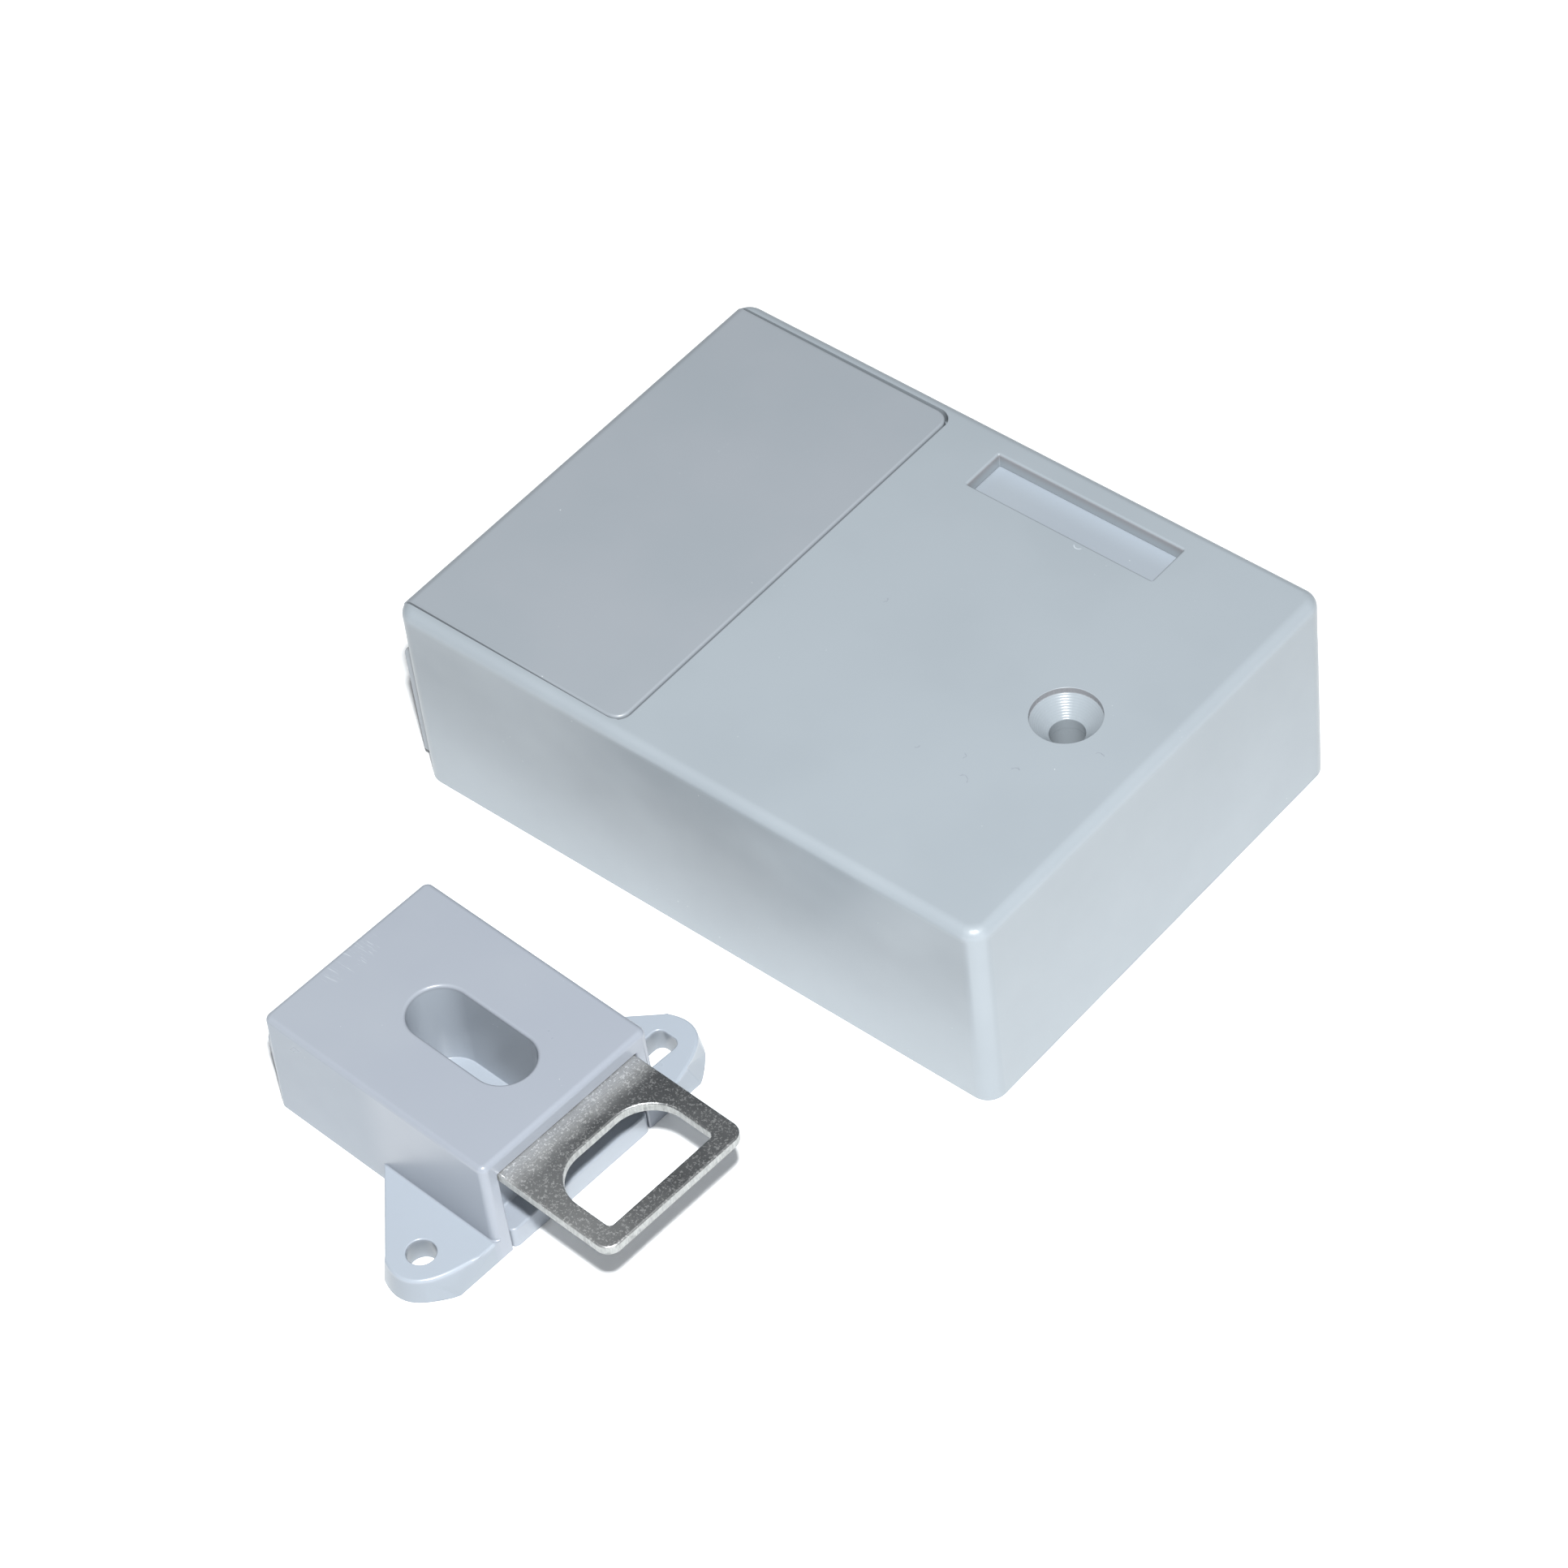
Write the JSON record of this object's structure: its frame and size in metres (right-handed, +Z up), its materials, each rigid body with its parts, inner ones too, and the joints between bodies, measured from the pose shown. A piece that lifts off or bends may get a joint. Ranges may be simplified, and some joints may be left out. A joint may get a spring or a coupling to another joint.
{
  "type": "electronic cabinet lock",
  "caption": "Hidden battery-powered cabinet lock: a box-shaped lock unit with a sliding battery cover, sprung ejector and motor bolt, and a screw-on keeper with a steel tongue.",
  "frame": {"origin": "centre of the lock unit's base, on the surface that it rests on", "axes": "+X along the lock unit's length, from the battery cover to the screw hole; +Y across its width, from the keeper's side to the tongue slot's side; +Z up from the base to the top face"},
  "size_m": [0.1091, 0.1518, 0.0356],
  "materials": {
    "case_plastic": "fine satin moulded ABS, cool blue-grey",
    "cover_plastic": "fine satin moulded ABS, a shade darker blue-grey",
    "black_plastic": "satin black",
    "white_plastic": "satin off-white nylon",
    "gear_plastic": "natural acetal",
    "gearbox_plastic": "satin grey nylon",
    "board": "green solder mask",
    "copper_wire": "enamelled copper winding",
    "cell_sleeve": "plain dark sleeve, no print",
    "capacitor_sleeve": "plain dark sleeve, no print",
    "tongue_steel": "satin stainless, bright sheared edges",
    "bolt_metal": "zinc-plated steel",
    "screw_steel": "bright zinc plate",
    "motor_steel": "plated steel can",
    "spring_steel": "bright spring wire",
    "lead_red": "soft PVC sleeve; one lead of each pair is red and the other black"
  },
  "bodies": {
    "lock_unit": {"housing_shell": "case_plastic", "base_plate": "case_plastic", "base_screws": "screw_steel", "battery_holder": "black_plastic", "battery_cells": "cell_sleeve", "contact_springs": "spring_steel", "contact_plates": "screw_steel", "circuit_board": "board", "board_screws": "screw_steel", "antenna_coil": "copper_wire", "controller_chip": "black_plastic", "reader_chip": "black_plastic", "buzzer": "black_plastic", "capacitor": "capacitor_sleeve", "battery_socket": "white_plastic", "motor_socket": "white_plastic", "set_switch": "black_plastic", "door_switch": "black_plastic", "gearbox_frame": "gearbox_plastic", "gearbox_cover": "gearbox_plastic", "gearbox_screws": "screw_steel", "gear_axles": "tongue_steel", "motor_can": "motor_steel", "battery_leads": "lead_red", "motor_leads": "lead_red"},
    "cover": {"battery_cover": "cover_plastic"},
    "sprung_ejector": {"ejector": "case_plastic", "ejector_springs": "spring_steel"},
    "bolt": {"latch_bolt": "bolt_metal"},
    "drive_gear_body": {"drive_gear": "gear_plastic"},
    "reduction_gear_body": {"reduction_gear": "gear_plastic"},
    "motor_shaft": {"motor_pinion": "gear_plastic"},
    "button": {"set_button": "white_plastic"},
    "door_plunger_body": {"door_plunger": "white_plastic"},
    "keeper": {"keeper_housing": "case_plastic", "keeper_base": "case_plastic", "steel_tongue": "tongue_steel", "keeper_screws": "screw_steel"}
  },
  "joints": [
    {"name": "cover_slide", "type": "slide", "parent": "lock_unit", "child": "cover", "axis": [-1, 0, 0], "range_m": [0, 0.048]},
    {"name": "ejector_slide", "type": "slide", "parent": "lock_unit", "child": "sprung_ejector", "axis": [0, 0, -1], "range_m": [0, 0.0178], "stiffness_N_per_m": 300, "springref_m": -0.012, "deforming": ["ejector_springs"]},
    {"name": "bolt_slide", "type": "slide", "parent": "lock_unit", "child": "bolt", "axis": [0, 1, 0], "range_m": [0, 0.008]},
    {"name": "drive_gear_spin", "type": "hinge", "parent": "lock_unit", "child": "drive_gear_body", "pos_m": [0.00314, 0.002, 0.024], "axis": [0, 0, 1], "range_deg": [0, 95.6]},
    {"name": "reduction_gear_spin", "type": "hinge", "parent": "lock_unit", "child": "reduction_gear_body", "pos_m": [0.00314, -0.01, 0.024], "axis": [0, 0, 1], "range_deg": [-286.7, 0]},
    {"name": "motor_spin", "type": "hinge", "parent": "lock_unit", "child": "motor_shaft", "pos_m": [0.00914, -0.02039, 0.024], "axis": [0, 0, 1], "range_deg": [0, 860]},
    {"name": "set_button_press", "type": "slide", "parent": "lock_unit", "child": "button", "axis": [1, 0, 0], "range_m": [0, 0.0006], "stiffness_N_per_m": 800, "springref_m": -0.0004},
    {"name": "door_plunger_press", "type": "slide", "parent": "lock_unit", "child": "door_plunger_body", "axis": [0, 0, -1], "range_m": [0, 0.0004], "stiffness_N_per_m": 800, "springref_m": -0.0004},
    {"name": "keeper_slide", "type": "slide", "parent": "lock_unit", "child": "keeper", "axis": [0, -1, 0], "range_m": [0, 0.06]}
  ],
  "couplings": [
    {"joint": "drive_gear_spin", "follows": "bolt_slide", "rad_per_m": 208.33},
    {"joint": "reduction_gear_spin", "follows": "bolt_slide", "rad_per_m": -625},
    {"joint": "motor_spin", "follows": "bolt_slide", "rad_per_m": 1875}
  ]
}
